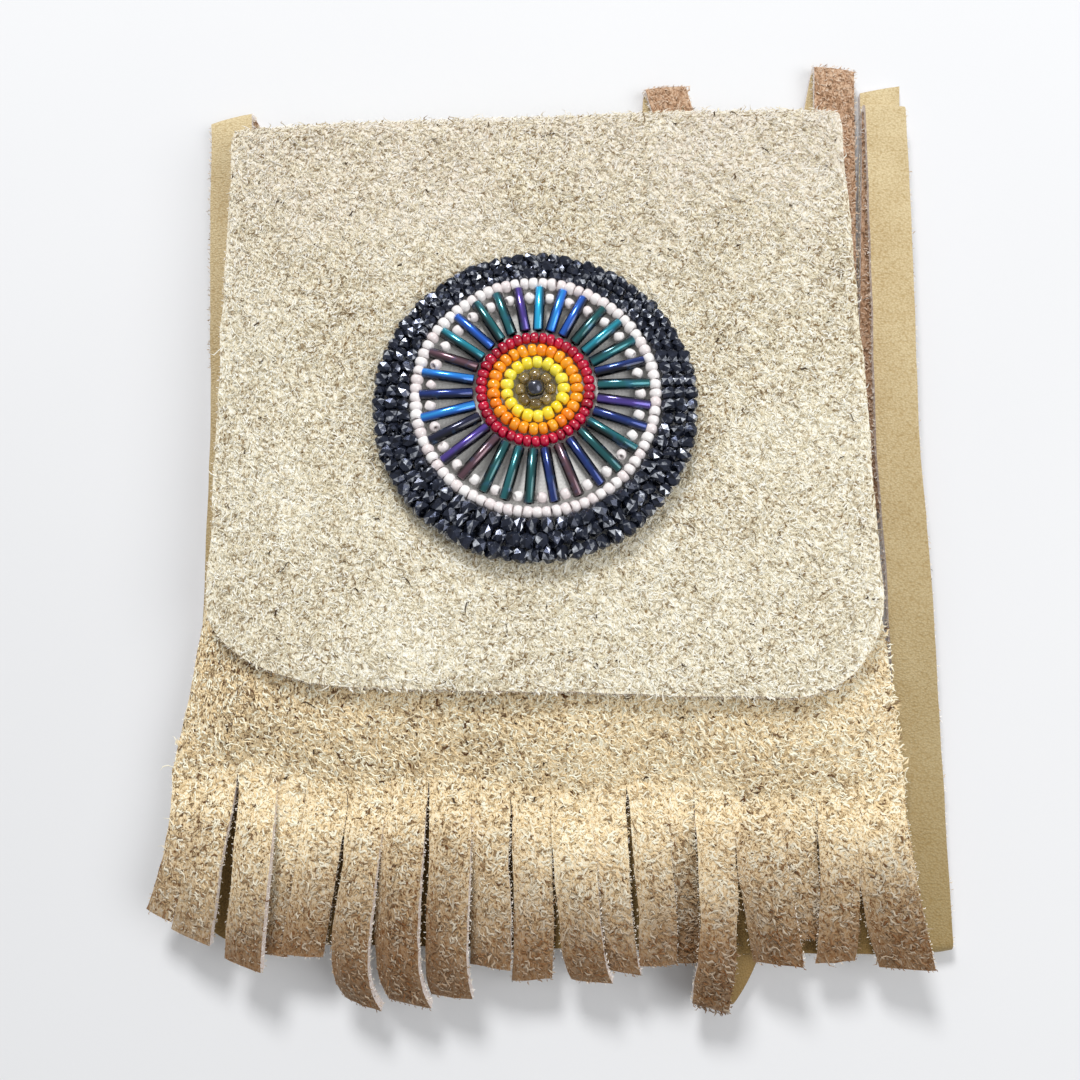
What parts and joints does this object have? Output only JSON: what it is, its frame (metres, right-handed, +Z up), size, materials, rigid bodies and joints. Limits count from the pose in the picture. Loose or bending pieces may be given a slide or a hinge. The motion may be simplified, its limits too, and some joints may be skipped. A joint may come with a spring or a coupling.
{
  "type": "beaded medicine bag",
  "caption": "Small flat suede pouch with a fold-over flap, a round bead rosette, a cut fringe and a long flat strap folded beneath it.",
  "frame": {"origin": "on the surface that the bag lies on, under the middle of its whole box", "axes": "+Y from the fringe towards the top fold, +X to the right seen from above, +Z up out of the flap"},
  "size_m": [0.1314, 0.1648, 0.0169],
  "materials": {
    "flap_suede": "pale buff suede, flesh side out, coarse fibrous nap",
    "front_suede": "tan suede, flesh side out, browner at the fringe tips",
    "strap_leather": "golden tan smooth grain on one side, suede on the other",
    "backing_cloth": "pale grey stiff cloth",
    "hematite": "dark metallic glass",
    "smoky_glass": "clear smoky brown glass",
    "yellow_glass": "opaque glossy lemon yellow glass",
    "amber_glass": "opaque glossy orange glass",
    "crimson_glass": "glossy deep red glass",
    "pearl_glass": "opaque pearly pinkish white glass",
    "gunmetal_glass": "cut glass with a dark metallic coat",
    "bugle_glass": "dark blue and green iridescent glass"
  },
  "bodies": {
    "root": {"back_and_flap": "flap_suede", "front_panel": "front_suede", "strap": "strap_leather", "rosette_backing": "backing_cloth", "centre_bead": "hematite", "smoky_bead_ring": "smoky_glass", "yellow_bead_ring": "yellow_glass", "amber_bead_ring": "amber_glass", "crimson_bead_ring": "crimson_glass", "white_bead_ring": "pearl_glass", "gunmetal_bead_row_inner": "gunmetal_glass", "gunmetal_bead_row_middle": "gunmetal_glass", "gunmetal_bead_row_outer": "gunmetal_glass", "bugle_bead_01": "bugle_glass", "bugle_bead_02": "bugle_glass", "bugle_bead_03": "bugle_glass", "bugle_bead_04": "bugle_glass", "bugle_bead_05": "bugle_glass", "bugle_bead_06": "bugle_glass", "bugle_bead_07": "bugle_glass", "bugle_bead_08": "bugle_glass", "bugle_bead_09": "bugle_glass", "bugle_bead_10": "bugle_glass", "bugle_bead_11": "bugle_glass", "bugle_bead_12": "bugle_glass", "bugle_bead_13": "bugle_glass", "bugle_bead_14": "bugle_glass", "bugle_bead_15": "bugle_glass", "bugle_bead_16": "bugle_glass", "bugle_bead_17": "bugle_glass", "bugle_bead_18": "bugle_glass", "bugle_bead_19": "bugle_glass", "bugle_bead_20": "bugle_glass", "bugle_bead_21": "bugle_glass", "bugle_bead_22": "bugle_glass", "bugle_bead_23": "bugle_glass", "bugle_bead_24": "bugle_glass", "bugle_bead_25": "bugle_glass", "bugle_bead_26": "bugle_glass", "bugle_bead_27": "bugle_glass", "bugle_bead_28": "bugle_glass", "bugle_bead_29": "bugle_glass", "bugle_bead_30": "bugle_glass"}
  },
  "joints": []
}
